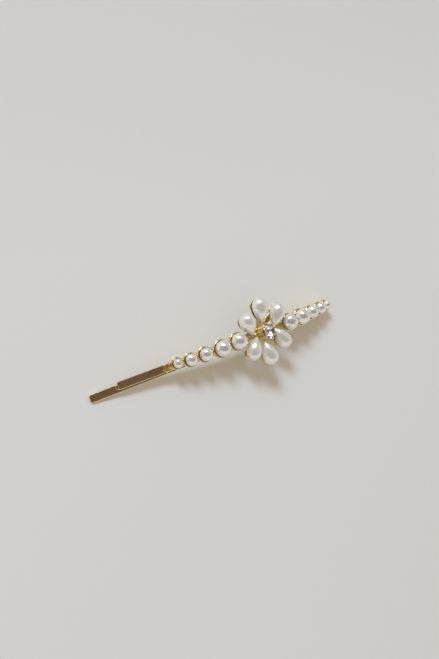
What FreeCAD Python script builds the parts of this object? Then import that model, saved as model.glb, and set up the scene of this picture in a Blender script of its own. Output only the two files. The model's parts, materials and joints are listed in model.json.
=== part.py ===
import FreeCAD, Part
import math
import os

# A decorative hair pin: a flat two-legged spring pin, arched along its length, that carries
# a row of pearls in cups and a six-petal pearl flower with a claw-set stone.
# Frame: +X along the pin from its open end to its bend, +Z out of the decorated face,
# origin at the centre of the bounding box's bottom.  The pin stands on its two ends.
# Millimetres.  "s" is a distance along the upper leg's top face, 0 under the flower's centre.

# ---------------------------------------------------------------- driving dimensions
STRIP_WIDTH = 1.9            # width of the spring strip that both legs are made of
STRIP_THICK = 0.55           # thickness of the spring strip
LEG_GAP = 0.45               # free space between the two legs at rest
ARCH_RADIUS = 110.0          # radius of the arch, measured to the upper leg's top face
STRAIGHT_UNTIL = -20.0       # s where the arch starts; the legs are straight before it
UPPER_TIP = -40.5            # s of the upper leg's open end
LOWER_TIP = -47.5            # s of the lower leg's open end, longer so that hair finds the gap
BEND_START = 26.7            # s where the strip starts to turn back on itself
TIP_CORNER = 0.45            # corner radius of the legs' open ends
STRIP_EDGE = 0.12            # rounding of the strip's long edges
HINGE_CLEARANCE = 0.03       # the upper leg's end stands this far from the bend

BAR_WIDTH = 1.5              # carrier bar soldered along the upper leg
BAR_THICK = 0.35
BAR_START = -28.5            # its bare end tab reaches past the first cup
BAR_END = 26.4

PEARL_DIAMETERS = [2.3, 2.9, 3.2, 3.9, 3.95]      # from either end of the row inwards
PEARL_PLACES = [25.4, 21.9, 17.9, 13.3, 8.5]      # distance of each from the flower's centre
PEARL_LIFT = 1.4             # a pearl's centre is at PEARL_LIFT + 0.8 of its radius
PEARL_LIFT_SHARE = 0.8
CUP_MARGIN = 0.34            # how far a cup's rim stands outside its pearl
CUP_WALL = 0.16
CUP_FLOOR = 0.3
CUP_RIM_DROP = 0.3           # the rim is this share of the pearl's radius below its centre
CUP_FOOT_SHARE = 0.62        # foot radius as a share of the rim radius
CUP_ROOM = 0.05              # glue gap between a round pearl and its cup
PEG_RADIUS = 0.3             # posts that the drilled pearls are glued on
PEG_HOLE_CLEARANCE = 0.04

LINK_RADIUS = 0.36           # wrapped wire necks between cups
LINK_HEIGHT = 0.95

# The six petals, each a hand-made pearl: x and y of its middle from the flower's centre, the
# direction in degrees that its round end points to, its length and its round end's radius.
PETALS = [(5.0, 2.95, 51.0, 6.2, 1.95), (0.25, 5.4, 80.0, 6.2, 1.95),
          (-4.6, 3.15, 100.0, 5.6, 2.05), (-4.9, -2.75, 235.0, 6.1, 1.8),
          (-1.0, -5.1, 276.0, 6.2, 1.95), (4.35, -2.8, 297.0, 6.0, 1.95)]
PETAL_TIP_RADIUS = 0.8       # radius of a petal pearl's inner end
PETAL_HEIGHT = 2.85          # height of the petal pearls' axes above the upper leg
PETAL_ROOM = 0.04            # glue gap between a petal pearl and its tray
TRAY_BOTTOM = 0.7
TRAY_RIM = 1.8
TRAY_MIDDLE_SHARE = 0.4      # height of the tray wall's middle section, as a share of its rise
TRAY_SECTIONS = [(-0.85, -0.40, 1.6), (-0.42, -0.12, 1.15), (-0.14, 0.02, 0.8)]
# foot, middle and rim of a tray: growth of the pearl's round end and of its inner end,
# and how far the inner end stands back from the pearl's

BASE_THICK = 0.35            # six-armed plate under the flower
BASE_HUB_RADIUS = 2.9
BASE_ARM_WIDTH = 1.3
BASE_PAD_RADIUS = 1.25

STONE_RADIUS = 1.78
STONE_GIRDLE_LOW = 4.22
STONE_GIRDLE_HIGH = 4.34
STONE_TABLE = 5.05
STONE_TABLE_RADIUS = 1.02
STONE_CULET = 2.95
STONE_SIDES = 8
CLAW_CUP_RADIUS = 1.98
CLAW_CUP_WALL = 0.22
CLAW_CUP_FLOOR = 0.3
CLAW_CUP_RIM = 4.05
CLAW_CUP_FOOT_SHARE = 0.8    # its foot radius as a share of its radius
CLAW_CUP_SWELL = 1.4         # height over which it widens from the foot
CLAW_CUP_RING = 0.1          # extra floor height where the wall begins
CLAW_COUNT = 6
CLAW_RADIUS = 0.2
CLAW_TIP_RADIUS = 0.24
CLAW_TIP_OUT = 0.1           # the beads' centres stand this far outside the girdle
CLAW_TIP_RISE = 0.32         # and this far above it
FOIL_THICK = 0.06
FOIL_GAP = 0.08              # from the stone's point to the foil
FOIL_RIM = 3.9

LEG_PITCH = STRIP_THICK + LEG_GAP
UP = FreeCAD.Vector(0, 0, 1)
ACROSS = FreeCAD.Vector(0, 1, 0)
ORIGIN = FreeCAD.Vector(0, 0, 0)


# ---------------------------------------------------------------- the pin's own line
def slope(s):
    """Angle by which the pin's face leans towards +X at distance s, in radians."""
    return max(s, STRAIGHT_UNTIL) / ARCH_RADIUS


def on_pin(s, height=0.0):
    """Point at distance s along the pin and at a height above the upper leg's top face."""
    angle = slope(s)
    beyond = min(0.0, s - STRAIGHT_UNTIL)
    along = FreeCAD.Vector(math.cos(angle), 0, -math.sin(angle))
    out = FreeCAD.Vector(math.sin(angle), 0, math.cos(angle))
    on_arch = FreeCAD.Vector(math.sin(angle), 0, math.cos(angle) - 1) * ARCH_RADIUS
    return on_arch + along * beyond + out * height


def seat(s, height=0.0):
    """Placement of a small part that stands on the pin at distance s."""
    turn = FreeCAD.Rotation(ACROSS, math.degrees(slope(s)))
    return FreeCAD.Placement(on_pin(s, height), turn)


def line(a, b):
    return Part.LineSegment(a, b).toShape()


def arc(a, middle, b):
    return Part.Arc(a, middle, b).toShape()


def run_edges(start, end, height):
    """Edges that follow the pin from start to end: a straight run and then the arch."""
    edges = []
    arch_start = start
    if start < STRAIGHT_UNTIL:
        edges.append(line(on_pin(start, height), on_pin(STRAIGHT_UNTIL, height)))
        arch_start = STRAIGHT_UNTIL
    middle = (arch_start + end) / 2
    edges.append(arc(on_pin(arch_start, height), on_pin(middle, height), on_pin(end, height)))
    return edges


def strip(start, end, top, thick, width):
    """A flat strip that follows the pin, its top face at the given height."""
    upper = run_edges(start, end, top)
    lower = run_edges(start, end, top - thick)
    end_cap = line(on_pin(end, top), on_pin(end, top - thick))
    start_cap = line(on_pin(start, top - thick), on_pin(start, top))
    outline = Part.Wire(upper + [end_cap] + lower[::-1] + [start_cap])
    outline.translate(ACROSS * (-width / 2))
    return Part.Face(outline).extrude(ACROSS * width)


def across_edges(solid, point, reach):
    """The solid's short edges through its thickness that lie within reach of a point."""
    found = []
    for edge in solid.Edges:
        ends = [vertex.Point for vertex in edge.Vertexes]
        if len(ends) != 2:
            continue
        span = ends[1] - ends[0]
        near = all((end - point).Length < reach for end in ends)
        if near and abs(span.y) < 1e-6 and span.Length < STRIP_THICK * 1.1:
            found.append(edge)
    return found


def long_edges(solid):
    """The solid's edges that run along the pin."""
    return [edge for edge in solid.Edges
            if edge.Length > 2 * STRIP_WIDTH and abs(edge.tangentAt(edge.FirstParameter).y) < 0.5]


def leg(tip, top, end):
    """One leg of the pin: a flat strip with a rounded open end and softened long edges."""
    blank = strip(tip, end, top, STRIP_THICK, STRIP_WIDTH)
    corners = across_edges(blank, on_pin(tip, top), STRIP_WIDTH)
    rounded = blank.makeFillet(TIP_CORNER, corners)
    return rounded.makeFillet(STRIP_EDGE, long_edges(rounded))


def spring_bend():
    """The half turn that joins the legs and acts as the pin's spring."""
    outer = (LEG_PITCH + STRIP_THICK) / 2
    inner = LEG_GAP / 2
    side = -STRIP_WIDTH / 2

    def corner(radius, degrees):
        angle = math.radians(degrees)
        return FreeCAD.Vector(radius * math.cos(angle), side, radius * math.sin(angle))

    outline = Part.Wire([
        arc(corner(outer, 90), corner(outer, 0), corner(outer, -90)),
        line(corner(outer, -90), corner(inner, -90)),
        arc(corner(inner, -90), corner(inner, 0), corner(inner, 90)),
        line(corner(inner, 90), corner(outer, 90))])
    bend = Part.Face(outline).extrude(ACROSS * STRIP_WIDTH)
    bend.Placement = seat(BEND_START, -outer)
    return bend


# ---------------------------------------------------------------- round pearls in cups
def turned(points):
    """Solid of revolution about Z from (radius, height) points of a closed outline."""
    corners = [FreeCAD.Vector(radius, 0, height) for radius, height in points]
    outline = Part.makePolygon(corners + corners[:1])
    return Part.Face(outline).revolve(ORIGIN, UP, 360)


def pearl_centre(radius):
    return PEARL_LIFT + PEARL_LIFT_SHARE * radius


def bowl_curve(foot, rim, low, high, steps=5):
    """Points of a quarter-ellipse wall that swells from the foot radius to the rim radius."""
    points = []
    for step in range(steps + 1):
        angle = math.radians(90.0 * step / steps)
        points.append((foot + (rim - foot) * math.sin(angle), high - (high - low) * math.cos(angle)))
    return points


def cup_sizes(radius):
    rim = radius + CUP_MARGIN
    top = pearl_centre(radius) - CUP_RIM_DROP * radius
    return rim, rim * CUP_FOOT_SHARE, top


def cup_envelope(radius):
    """The cup's outer form without its hollow."""
    rim, foot, top = cup_sizes(radius)
    return turned([(0, BAR_THICK)] + bowl_curve(foot, rim, BAR_THICK, top) + [(0, top)])


def pearl_cup(radius):
    """Thin-walled round bowl with a flat floor and an open rim."""
    rim, foot, top = cup_sizes(radius)
    floor = BAR_THICK + CUP_FLOOR
    hollow = turned([(0, floor)] + bowl_curve(foot - CUP_WALL, rim - CUP_WALL, floor, top)
                    + [(rim - CUP_WALL, top + 1), (0, top + 1)])
    bowl = cup_envelope(radius).cut(hollow)
    room = Part.makeSphere(radius + CUP_ROOM, FreeCAD.Vector(0, 0, pearl_centre(radius)))
    return bowl.cut(room)


def peg(low, high):
    return Part.makeCylinder(PEG_RADIUS, high - low, FreeCAD.Vector(0, 0, low), UP)


def drilled(pearl, top_of_peg):
    """The pearl with the blind hole that its peg is glued into."""
    hole = Part.makeCylinder(PEG_RADIUS + PEG_HOLE_CLEARANCE, top_of_peg + PEG_HOLE_CLEARANCE,
                             ORIGIN, UP)
    return pearl.cut(hole)


def round_pearl(radius):
    centre = pearl_centre(radius)
    ball = Part.makeSphere(radius, FreeCAD.Vector(0, 0, centre))
    return drilled(ball, centre)


def round_pearl_peg(radius):
    return peg(BAR_THICK + CUP_FLOOR, pearl_centre(radius))


# ---------------------------------------------------------------- the flower
def petal_ends(petal, round_growth=0.0, tip_growth=0.0, tip_back=0.0):
    """Centre and radius of a petal's round end and inner end, from the petal's middle."""
    length, radius = petal[3:]
    tip_centre = tip_back + PETAL_TIP_RADIUS - length / 2
    return length / 2 - radius, radius + round_growth, tip_centre, PETAL_TIP_RADIUS + tip_growth


def teardrop(ends, height):
    """Flat teardrop outline around a petal's two ends."""
    round_centre, round_radius, tip_centre, tip_radius = ends
    lean = math.asin((round_radius - tip_radius) / (round_centre - tip_centre))
    across, along = math.cos(lean), math.sin(lean)
    round_side = (round_centre - round_radius * along, round_radius * across)
    tip_side = (tip_centre - tip_radius * along, tip_radius * across)

    def place(x, y):
        return FreeCAD.Vector(x, y, height)

    return Part.Wire([
        arc(place(*round_side), place(round_centre + round_radius, 0),
            place(round_side[0], -round_side[1])),
        line(place(round_side[0], -round_side[1]), place(tip_side[0], -tip_side[1])),
        arc(place(tip_side[0], -tip_side[1]), place(tip_centre - tip_radius, 0),
            place(*tip_side)),
        line(place(*tip_side), place(*round_side))])


def petal_body(petal, growth=0.0):
    """Pear-shaped body, round in section, lying along X at the petals' height."""
    round_centre, round_radius, tip_centre, tip_radius = petal_ends(petal, growth, growth)
    lean = math.asin((round_radius - tip_radius) / (round_centre - tip_centre))
    shoulder = math.pi / 2 + lean

    def rim(centre, radius, angle):
        return FreeCAD.Vector(centre + radius * math.cos(angle), 0, radius * math.sin(angle))

    outline = Part.Wire([
        arc(rim(round_centre, round_radius, 0), rim(round_centre, round_radius, shoulder / 2),
            rim(round_centre, round_radius, shoulder)),
        line(rim(round_centre, round_radius, shoulder), rim(tip_centre, tip_radius, shoulder)),
        arc(rim(tip_centre, tip_radius, shoulder),
            rim(tip_centre, tip_radius, (shoulder + math.pi) / 2),
            rim(tip_centre, tip_radius, math.pi)),
        line(rim(tip_centre, tip_radius, math.pi), rim(round_centre, round_radius, 0))])
    body = Part.Face(outline).revolve(ORIGIN, FreeCAD.Vector(1, 0, 0), 360)
    body.translate(UP * PETAL_HEIGHT)
    return body


def petal_post(petal, radius):
    """Upright post under the petal's round end, up to the petal's axis."""
    return Part.makeCylinder(radius, PETAL_HEIGHT, FreeCAD.Vector(petal_ends(petal)[0], 0, 0), UP)


def petal_pearl(petal):
    return petal_body(petal).cut(petal_post(petal, PEG_RADIUS + PEG_HOLE_CLEARANCE))


def petal_peg(petal):
    return petal_post(petal, PEG_RADIUS).common(petal_body(petal, PETAL_ROOM))


def petal_tray(petal):
    """Teardrop bowl that swells from a narrow foot and is hollowed to the petal's own form."""
    middle = TRAY_BOTTOM + TRAY_MIDDLE_SHARE * (TRAY_RIM - TRAY_BOTTOM)
    sections = [teardrop(petal_ends(petal, *growth), height)
                for growth, height in zip(TRAY_SECTIONS, (TRAY_BOTTOM, middle, TRAY_RIM))]
    return Part.makeLoft(sections, True, True).cut(petal_body(petal, PETAL_ROOM))


def petal_seat(petal):
    x, y, direction = petal[:3]
    return FreeCAD.Placement(FreeCAD.Vector(x, y, 0), FreeCAD.Rotation(UP, direction))


def flower_base():
    """Flat hub with an arm and a round pad under each petal tray."""
    plate = Part.makeCylinder(BASE_HUB_RADIUS, BASE_THICK, UP * BAR_THICK, UP)
    for petal in PETALS:
        pad_at = petal_seat(petal).multVec(FreeCAD.Vector(petal_ends(petal)[0], 0, 0))
        pad = Part.makeCylinder(BASE_PAD_RADIUS, BASE_THICK, pad_at + UP * BAR_THICK, UP)
        corner = FreeCAD.Vector(0, -BASE_ARM_WIDTH / 2, BAR_THICK)
        arm = Part.makeBox(pad_at.Length, BASE_ARM_WIDTH, BASE_THICK, corner)
        arm.rotate(ORIGIN, UP, math.degrees(math.atan2(pad_at.y, pad_at.x)))
        plate = plate.fuse([arm, pad])
    return plate.removeSplitter()


# ---------------------------------------------------------------- the claw-set stone
def claw_cup():
    """Open round cup that lifts the stone above the petals."""
    low = BAR_THICK + BASE_THICK
    inner = CLAW_CUP_RADIUS - CLAW_CUP_WALL
    swell = low + CLAW_CUP_SWELL
    return turned([(0, low), (CLAW_CUP_RADIUS * CLAW_CUP_FOOT_SHARE, low), (CLAW_CUP_RADIUS, swell),
                   (CLAW_CUP_RADIUS, CLAW_CUP_RIM), (inner, CLAW_CUP_RIM),
                   (inner, swell + CLAW_CUP_RING),
                   (inner * CLAW_CUP_FOOT_SHARE, low + CLAW_CUP_FLOOR), (0, low + CLAW_CUP_FLOOR)])


def claw(index):
    """One claw: a post against the cup's rim with a bead that leans over the stone."""
    angle = 2 * math.pi * (index + 0.5) / CLAW_COUNT
    out = FreeCAD.Vector(math.cos(angle), math.sin(angle), 0)
    foot = out * CLAW_CUP_RADIUS + UP * CLAW_CUP_RIM
    bead = out * (STONE_RADIUS + CLAW_TIP_OUT) + UP * (STONE_GIRDLE_HIGH + CLAW_TIP_RISE)
    post = Part.makeCylinder(CLAW_RADIUS, bead.z - foot.z, foot, UP)
    return post.fuse(Part.makeSphere(CLAW_TIP_RADIUS, bead))


def ring_polygon(radius, height):
    corners = []
    for side in range(STONE_SIDES + 1):
        angle = 2 * math.pi * side / STONE_SIDES
        corners.append(FreeCAD.Vector(radius * math.cos(angle), radius * math.sin(angle), height))
    return Part.makePolygon(corners)


def faceted(low_radius, low, high_radius, high):
    return Part.makeLoft([ring_polygon(low_radius, low), ring_polygon(high_radius, high)], True, True)


def stone():
    """Round faceted stone: pavilion, thin girdle and crown."""
    pavilion = faceted(0.06, STONE_CULET, STONE_RADIUS, STONE_GIRDLE_LOW)
    girdle = faceted(STONE_RADIUS, STONE_GIRDLE_LOW, STONE_RADIUS, STONE_GIRDLE_HIGH)
    crown = faceted(STONE_RADIUS, STONE_GIRDLE_HIGH, STONE_TABLE_RADIUS, STONE_TABLE)
    return pavilion.fuse([girdle, crown])


def foil_back():
    """Thin metal cone behind the stone that throws the light back."""
    low = STONE_CULET - FOIL_GAP
    reach = (FOIL_RIM - low) / (STONE_GIRDLE_LOW - STONE_CULET) * STONE_RADIUS
    return turned([(0, low), (reach, FOIL_RIM), (reach, FOIL_RIM - FOIL_THICK),
                   (0, low - FOIL_THICK)])


# ---------------------------------------------------------------- wrapped wire necks
def link(from_s, to_s, keep_clear):
    """A wire neck between two neighbours, trimmed where it meets their walls."""
    start, end = on_pin(from_s, LINK_HEIGHT), on_pin(to_s, LINK_HEIGHT)
    rod = Part.makeCylinder(LINK_RADIUS, (end - start).Length, start, end - start)
    return rod.cut(keep_clear)


def cup_body(s, radius):
    body = cup_envelope(radius)
    body.Placement = seat(s)
    return body


def links_on_side(side):
    """The five necks on one side of the flower; side is -1 for the open end, 1 for the bend."""
    bodies = [cup_body(side * place, diameter / 2)
              for place, diameter in zip(PEARL_PLACES, PEARL_DIAMETERS)]
    necks = []
    for index in range(len(PEARL_PLACES) - 1):
        necks.append(link(side * PEARL_PLACES[index], side * PEARL_PLACES[index + 1],
                          [bodies[index], bodies[index + 1]]))
    hub = Part.makeCylinder(CLAW_CUP_RADIUS, CLAW_CUP_RIM)
    necks.append(link(side * PEARL_PLACES[-1], 0.0, [bodies[-1], hub, flower_base()]))
    return Part.Compound(necks)


# ---------------------------------------------------------------- assembly
def placed(shape, placement):
    shape = shape.copy()
    shape.Placement = placement.multiply(shape.Placement)
    return shape


def build_nodes():
    """Every node of the pin, in the flower's own frame."""
    nodes = {
        "upper_leg": leg(UPPER_TIP, 0.0, BEND_START - HINGE_CLEARANCE),
        "lower_leg": leg(LOWER_TIP, -LEG_PITCH, BEND_START),
        "spring_bend": spring_bend(),
        "carrier_bar": strip(BAR_START, BAR_END, BAR_THICK, BAR_THICK, BAR_WIDTH),
    }
    pegs = []
    for side, side_name in ((-1, "open"), (1, "bend")):
        for number, (place, diameter) in enumerate(zip(PEARL_PLACES, PEARL_DIAMETERS), start=1):
            where = seat(side * place)
            radius = diameter / 2
            nodes[f"pearl_cup_{side_name}_{number}"] = placed(pearl_cup(radius), where)
            nodes[f"pearl_{side_name}_{number}"] = placed(round_pearl(radius), where)
            pegs.append(placed(round_pearl_peg(radius), where))
        nodes[f"link_necks_{side_name}"] = links_on_side(side)
    nodes["pearl_pegs"] = Part.Compound(pegs)
    nodes["flower_base"] = flower_base()
    for number, petal in enumerate(PETALS, start=1):
        nodes[f"petal_tray_{number}"] = placed(petal_tray(petal), petal_seat(petal))
        nodes[f"petal_pearl_{number}"] = placed(petal_pearl(petal), petal_seat(petal))
    nodes["petal_pegs"] = Part.Compound([placed(petal_peg(petal), petal_seat(petal))
                                         for petal in PETALS])
    nodes["claw_cup"] = claw_cup()
    nodes["claws"] = Part.Compound([claw(index) for index in range(CLAW_COUNT)])
    nodes["stone"] = stone()
    nodes["stone_foil"] = foil_back()
    return nodes


def resting_turn():
    """Turn about Y that brings the pin's two supports, tip and bend, level."""
    tip = on_pin(LOWER_TIP, -LEG_PITCH - STRIP_THICK)
    heel = on_pin(BEND_START, -LEG_PITCH - STRIP_THICK)
    rise = math.degrees(math.atan2(heel.z - tip.z, heel.x - tip.x))
    return FreeCAD.Placement(ORIGIN, FreeCAD.Rotation(ACROSS, rise))


def main():
    os.makedirs("parts", exist_ok=True)
    turn = resting_turn()
    nodes = {name: placed(shape, turn) for name, shape in build_nodes().items()}
    box = Part.Compound(list(nodes.values())).optimalBoundingBox(False, False)
    shift = FreeCAD.Vector(-(box.XMin + box.XMax) / 2, -(box.YMin + box.YMax) / 2, -box.ZMin)
    for name, shape in nodes.items():
        shape.translate(shift)
        bad = [solid for solid in shape.Solids if not solid.isValid() or not solid.isClosed()]
        if bad or not shape.Solids:
            raise ValueError(f"{name} has {len(bad)} bad solids of {len(shape.Solids)}")
        shape.exportStep(f"parts/{name}.step")
    hinge = turn.multVec(on_pin(BEND_START, 0.0)) + shift
    flower = turn.multVec(ORIGIN) + shift
    print("nodes", len(nodes))
    print("box", round(box.XLength, 3), round(box.YLength, 3), round(box.ZLength, 3))
    print("hinge on the bend's upper edge", [round(value, 3) for value in hinge])
    print("flower centre on the upper leg", [round(value, 3) for value in flower])
    print("resting turn in degrees", round(math.degrees(turn.Rotation.Angle), 3))


if __name__ == "__main__":
    main()
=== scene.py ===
import json
import math

import bmesh
import bpy
from bpy.props import FloatProperty, FloatVectorProperty, IntProperty, PointerProperty
from mathutils import Matrix, Vector, noise


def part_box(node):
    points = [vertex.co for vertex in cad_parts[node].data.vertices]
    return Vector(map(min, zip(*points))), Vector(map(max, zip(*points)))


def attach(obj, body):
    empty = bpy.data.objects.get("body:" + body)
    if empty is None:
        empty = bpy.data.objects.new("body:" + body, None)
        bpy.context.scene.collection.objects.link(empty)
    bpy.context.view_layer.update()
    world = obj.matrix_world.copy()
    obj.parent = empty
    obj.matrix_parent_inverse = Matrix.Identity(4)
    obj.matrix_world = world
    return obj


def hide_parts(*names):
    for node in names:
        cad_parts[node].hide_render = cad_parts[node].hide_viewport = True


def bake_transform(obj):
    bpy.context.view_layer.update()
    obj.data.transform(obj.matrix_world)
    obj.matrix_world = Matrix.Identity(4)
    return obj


bl_info = {
    "name": "Pearl Flower Hair Pin",
    "version": (1, 0, 0),
    "blender": (4, 5, 0),
    "location": "3D View > Sidebar > Hair Pin",
    "description": "Builds a spring hair pin with cupped pearls and a pearl flower around its packed frame",
    "category": "Add Mesh",
}

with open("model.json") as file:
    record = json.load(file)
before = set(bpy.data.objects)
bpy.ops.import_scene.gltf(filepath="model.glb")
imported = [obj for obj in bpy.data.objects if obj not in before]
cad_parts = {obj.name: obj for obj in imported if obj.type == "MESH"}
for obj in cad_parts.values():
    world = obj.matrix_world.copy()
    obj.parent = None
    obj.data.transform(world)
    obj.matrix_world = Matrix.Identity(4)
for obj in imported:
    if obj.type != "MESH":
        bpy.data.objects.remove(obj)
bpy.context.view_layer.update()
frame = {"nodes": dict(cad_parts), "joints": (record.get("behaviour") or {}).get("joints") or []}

MM = 0.001
X = Vector((1, 0, 0))
Y = Vector((0, 1, 0))
Z = Vector((0, 0, 1))
LOWER = "lower_half"
UPPER = "upper_half"

# Cups from either end of the row inwards: distance from the flower's centre.
PEARL_PLACES = [25.4 * MM, 21.9 * MM, 17.9 * MM, 13.3 * MM, 8.5 * MM]
SIDES = ((-1, "open"), (1, "bend"))
# How far each open-side cup stands off the pin's line, as a share of the largest.
DRIFT_SHARES = (1.0, 0.25, 0.2, 0.0, 0.6)

# The camera's target from the flower's place, and the lights in the camera's right, up and back axes.
VIEW_SHIFT = Vector((-8.43, 3.86, -3.57)) * MM
KEY_AXES, KEY_DISTANCE, KEY_WIDTH, KEY_COLOUR = (-0.11, 0.51, 0.85), 2.0, 0.5, (0.68, 0.83, 1.0)
CARD_AXES, CARD_DISTANCE, CARD_WIDTH, CARD_HEIGHT = (-0.09, 0.866, 0.5), 0.35, 0.24, 0.06
CARD_COLOUR = (1.0, 1.0, 1.0)
FLOOR_REACH = 1.5
CUP_NUMBERS = range(1, len(PEARL_PLACES) + 1)


def length(name, millimetres, description):
    return FloatProperty(name=name, description=description, default=millimetres * MM,
                         min=-1.0, max=1.0, precision=5, unit="LENGTH", subtype="DISTANCE")


def share(name, default, description, low=0.0, high=10.0):
    return FloatProperty(name=name, description=description, default=default, min=low, max=high)


def tint(name, default, description):
    return FloatVectorProperty(name=name, description=description, default=default, size=3,
                               min=0.0, max=1.0, subtype="COLOR")


def turn(name, degrees, description):
    return FloatProperty(name=name, description=description, default=math.radians(degrees),
                         min=-7.0, max=7.0, subtype="ANGLE")


# ---------------------------------------------------------------- what a user would change
class PinSizes(bpy.types.PropertyGroup):
    """Sizes of the pin and its settings."""

    strip_width: length("Strip width", 1.9, "Width of the spring strip")
    strip_thick: length("Strip thickness", 0.55, "Thickness of the spring strip")
    leg_gap: length("Leg gap", 0.45, "Free space between the legs at rest")
    arch_radius: length("Arch radius", 110.0, "Radius of the arch at the upper leg's top face")
    straight_until: length("Straight until", -20.0, "Where the straight legs meet the arch")
    upper_tip: length("Upper tip", -40.5, "Open end of the upper leg")
    lower_tip: length("Lower tip", -47.5, "Open end of the lower leg")
    bend_start: length("Bend start", 26.7, "Where the strip starts to turn back")
    tip_corner: length("Tip corner", 0.5, "Corner radius of the legs' open ends")
    strip_edge: length("Strip edge", 0.15, "Rounding of the strip's long edges")
    edge_crisp: share("Sheared edge", 0.3, "Rounding of the sheared side's edges as a share of the other's")
    leg_skew: length("Leg skew", 0.75, "How far the lower leg's tip lies to one side")
    bar_width: length("Bar width", 1.5, "Width of the soldered carrier bar")
    bar_thick: length("Bar thickness", 0.35, "Thickness of the carrier bar")
    bar_start: length("Bar start", -28.5, "End of the carrier bar's bare tab")
    bar_end: length("Bar end", 26.4, "End of the carrier bar at the bend")
    set_drift: length("Setting drift", 0.4, "Furthest that a hand-set cup stands off the pin's line")
    pearl_lift: length("Pearl lift", 1.4, "Height of a vanishing pearl above the upper leg")
    pearl_lift_share: share("Pearl lift share", 0.8, "Share of a pearl's radius added to its height")
    cup_margin: length("Cup margin", 0.36, "How far a cup's rim stands outside its pearl")
    cup_wall: length("Cup wall", 0.28, "Thickness of a cup's wall")
    cup_floor: length("Cup floor", 0.3, "Thickness of a cup's floor")
    cup_rim_drop: share("Cup rim drop", 0.3, "Rim below the pearl's centre, as a share of its radius")
    cup_foot_share: share("Cup foot share", 0.62, "Foot radius as a share of the rim's")
    peg_radius: length("Peg radius", 0.3, "Radius of the posts inside the pearls")
    wire_radius: length("Wire radius", 0.11, "Wire wrapped round the necks between cups")
    neck_radius: length("Neck radius", 0.36, "Outer radius of the wrapped necks")
    neck_height: length("Neck height", 0.95, "Height of the necks above the upper leg")
    pearl_swell: share("Pearl swell", 1.03, "Girth of the lacquered pearls as a share of the packed ones'")
    petal_height: length("Petal height", 2.85, "Height of the petals' axes above the upper leg")
    petal_taper: share("Petal taper", 0.7, "How much a petal pearl narrows to its inner end")
    tray_bottom: length("Tray bottom", 0.7, "Height of the trays' undersides")
    tray_rim: length("Tray rim", 1.45, "Height of the trays' rims")
    proud_rim: length("Proud rim", 0.3, "How much higher the proud tray's rim stands")
    proud_shift: length("Proud shift", 0.18, "How far the proud tray stands off towards the open end")
    tray_wall: length("Tray wall", 0.13, "Thickness of a tray's wall")
    tray_room: length("Tray room", 0.05, "Gap between a petal pearl and its tray")
    claw_cup_radius: length("Claw cup radius", 1.98, "Outer radius of the stone's cup")
    claw_cup_wall: length("Claw cup wall", 0.22, "Wall of the stone's cup")
    claw_cup_rim: length("Claw cup rim", 4.05, "Height of the stone cup's rim")
    claw_cup_low: length("Claw cup bottom", 0.7, "Height of the stone cup's underside")
    claw_radius: length("Claw radius", 0.19, "Radius of a claw")
    stone_radius: length("Stone radius", 1.78, "Radius of the stone's girdle")
    stone_girdle: length("Stone girdle", 4.28, "Height of the stone's girdle")
    stone_crown: length("Stone crown", 0.77, "Height of the crown above the girdle")
    stone_pavilion: length("Stone pavilion", 1.33, "Depth of the pavilion below the girdle")
    petal_count: IntProperty(name="Petals", description="Number of petals", default=6, min=3, max=12)
    proud_tray: IntProperty(name="Proud tray", description="Number of the tray whose rim shows",
                            default=2, min=0, max=12)
    claw_count: IntProperty(name="Claws", description="Number of claws", default=6, min=3, max=12)


class PinFinishes(bpy.types.PropertyGroup):
    """Colours and polish of the pin's finishes."""

    gold_light: tint("Gold light", (0.90, 0.79, 0.49), "Plating where it is fresh")
    gold_deep: tint("Gold deep", (0.82, 0.64, 0.23), "Plating where it is thick or worn")
    gold_rough: share("Gold roughness", 0.25, "Middle of the plating's roughness")
    pearl_light: tint("Pearl light", (0.90, 0.885, 0.84), "Body colour of the pearls")
    petal_light: tint("Petal light", (0.865, 0.838, 0.785), "Body colour of the petals")
    pearl_blush: tint("Pearl blush", (0.86, 0.82, 0.78), "Tint that drifts through the lacquer")
    pearl_rough: share("Pearl roughness", 0.2, "Middle of the pearls' roughness")
    pearl_lustre: share("Pearl lustre", 0.62, "How mirror-like the lacquer under the clear coat is")
    foil_tint: tint("Foil tint", (0.88, 0.89, 0.92), "Foil behind the stone")
    stone_tint: tint("Stone tint", (0.98, 0.99, 1.0), "Glass of the stone")


class StudioSettings(bpy.types.PropertyGroup):
    """Floor, lights and camera."""

    floor_tint: tint("Floor tint", (0.80, 0.79, 0.79), "Colour of the plain floor")
    ambient_tint: tint("Ambient tint", (0.63, 0.54, 0.42), "Light from all round that falls on surfaces")
    wall_tint: tint("Wall tint", (0.98, 0.96, 0.93), "Pale walls that the pin mirrors")
    wall_top_tint: tint("Wall top tint", (0.45, 0.43, 0.37), "The pale walls' upper parts")
    room_tint: tint("Room tint", (0.13, 0.072, 0.068), "Dim room that the pin mirrors")
    room_right: turn("Room right", 10, "How far to the camera's right the dim room's middle lies")
    room_up: turn("Room up", 3, "How far above the camera the dim room's middle lies")
    room_width: turn("Room width", 134, "How far the dim room reaches across")
    room_height: turn("Room height", 74, "How far the dim room reaches up and down")
    ambient: share("Ambient", 0.8, "Strength of the light from all round")
    key_power: share("Key power", 25.0, "Power of the light that casts the shadow, in watts", high=100.0)
    card_power: share("Softbox power", 1.0, "Power of the softbox that the pearls mirror", high=100.0)
    view_azimuth: turn("View azimuth", -99.22, "Turn of the camera about the vertical")
    view_elevation: turn("View elevation", 54.26, "Height of the camera as an angle")
    view_roll: turn("View roll", 80.33, "Turn of the camera about its own axis")
    view_distance: length("View distance", 268.65, "Camera to the point that it looks at")
    lens: share("Lens", 60.09, "Focal length in millimetres on a 36 mm sensor", high=500.0)


def sizes():
    return bpy.context.scene.pin_sizes


def finishes():
    return bpy.context.scene.pin_finishes


def studio():
    return bpy.context.scene.pin_studio


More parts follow.
